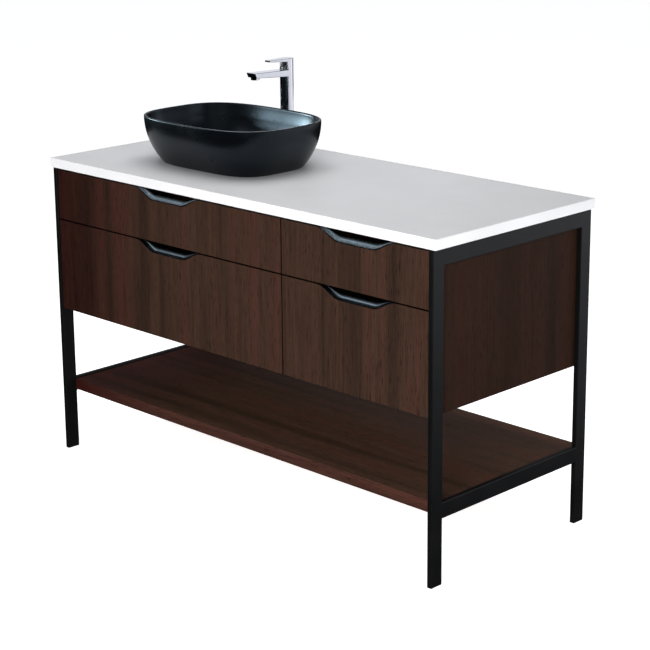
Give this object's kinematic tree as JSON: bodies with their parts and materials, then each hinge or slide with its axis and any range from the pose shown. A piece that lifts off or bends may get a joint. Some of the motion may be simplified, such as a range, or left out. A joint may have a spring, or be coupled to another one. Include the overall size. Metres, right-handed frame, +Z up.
{
  "type": "vessel sink on vanity",
  "caption": "Bathroom vanity: a soft-cornered vessel basin and a tall lever tap on a slab top, over a metal side-framed cabinet with scooped drawers and an open shelf.",
  "frame": {"origin": "on the floor, under the middle of the top", "axes": "+X to the right seen from the front, +Y towards the wall, +Z up; the drawers open towards -Y"},
  "size_m": [1.2, 0.5, 0.9405],
  "materials": {
    "white_top": "smooth satin white solid surface, lilac-grey in the light",
    "black_ceramic": "matt black glaze with a soft blue sheen",
    "black_steel": "black powder coat, smooth satin",
    "dark_veneer": "dark brown stained veneer with upright grain, satin lacquer",
    "grey_metal": "satin anodised, blue-grey",
    "birch_ply": "clear lacquered birch plywood",
    "zinc_steel": "bright zinc plate",
    "chrome": "polished chrome plate",
    "brass": "raw turned brass",
    "bright_steel": "bright ground steel",
    "white_plastic": "moulded white acetal"
  },
  "bodies": {
    "base": {"basin": "black_ceramic", "cabinet_back_panel": "dark_veneer", "cabinet_bottom": "dark_veneer", "cabinet_front_rail": "dark_veneer", "cabinet_left_side": "dark_veneer", "cabinet_partition": "dark_veneer", "cabinet_rear_rail": "dark_veneer", "cabinet_right_side": "dark_veneer", "cold_inlet": "chrome", "countertop": "white_top", "hot_inlet": "chrome", "left_front_leg": "black_steel", "left_lower_rail": "black_steel", "left_rear_leg": "black_steel", "left_top_rail": "black_steel", "lower_left_runner_l_channel": "zinc_steel", "lower_left_runner_r_channel": "zinc_steel", "lower_right_runner_l_channel": "zinc_steel", "lower_right_runner_r_channel": "zinc_steel", "right_front_leg": "black_steel", "right_lower_rail": "black_steel", "right_rear_leg": "black_steel", "right_top_rail": "black_steel", "shelf": "dark_veneer", "tap_aerator": "chrome", "tap_backnut": "brass", "tap_body": "chrome", "tap_cartridge": "white_plastic", "tap_shank": "brass", "upper_left_runner_l_channel": "zinc_steel", "upper_left_runner_r_channel": "zinc_steel", "upper_right_runner_l_channel": "zinc_steel", "upper_right_runner_r_channel": "zinc_steel", "waste_backnut": "brass", "waste_body": "chrome", "waste_tailpiece": "chrome"},
    "tap_turn": {"cartridge_carrier": "brass"},
    "tap_handle": {"lever_spindle": "bright_steel", "tap_lever": "chrome"},
    "lower_left_drawer": {"lower_left_drawer_box": "birch_ply", "lower_left_drawer_front": "dark_veneer", "lower_left_handle_lip": "grey_metal", "lower_left_runner_l_slide": "zinc_steel", "lower_left_runner_r_slide": "zinc_steel"},
    "lower_right_drawer": {"lower_right_drawer_box": "birch_ply", "lower_right_drawer_front": "dark_veneer", "lower_right_handle_lip": "grey_metal", "lower_right_runner_l_slide": "zinc_steel", "lower_right_runner_r_slide": "zinc_steel"},
    "upper_left_drawer": {"upper_left_drawer_box": "birch_ply", "upper_left_drawer_front": "dark_veneer", "upper_left_handle_lip": "grey_metal", "upper_left_runner_l_slide": "zinc_steel", "upper_left_runner_r_slide": "zinc_steel"},
    "upper_right_drawer": {"upper_right_drawer_box": "birch_ply", "upper_right_drawer_front": "dark_veneer", "upper_right_handle_lip": "grey_metal", "upper_right_runner_l_slide": "zinc_steel", "upper_right_runner_r_slide": "zinc_steel"},
    "plug": {"waste_plug": "chrome"}
  },
  "joints": [
    {"name": "upper_left_drawer_slide", "type": "slide", "parent": "base", "child": "upper_left_drawer", "axis": [0, -1, 0], "range_m": [0, 0.3]},
    {"name": "upper_right_drawer_slide", "type": "slide", "parent": "base", "child": "upper_right_drawer", "axis": [0, -1, 0], "range_m": [0, 0.3]},
    {"name": "lower_left_drawer_slide", "type": "slide", "parent": "base", "child": "lower_left_drawer", "axis": [0, -1, 0], "range_m": [0, 0.3]},
    {"name": "lower_right_drawer_slide", "type": "slide", "parent": "base", "child": "lower_right_drawer", "axis": [0, -1, 0], "range_m": [0, 0.3]},
    {"name": "tap_temperature_turn", "type": "hinge", "parent": "base", "child": "tap_turn", "pos_m": [-0.229, 0.164, 0.907], "axis": [0, 0, 1], "range_deg": [-45, 45]},
    {"name": "tap_lever_lift", "type": "hinge", "parent": "tap_turn", "child": "tap_handle", "pos_m": [-0.229, 0.164, 0.907], "axis": [-1, 0, 0], "range_deg": [0, 25]},
    {"name": "waste_plug_lift", "type": "slide", "parent": "base", "child": "plug", "axis": [0, 0, 1], "range_m": [0, 0.009]}
  ]
}
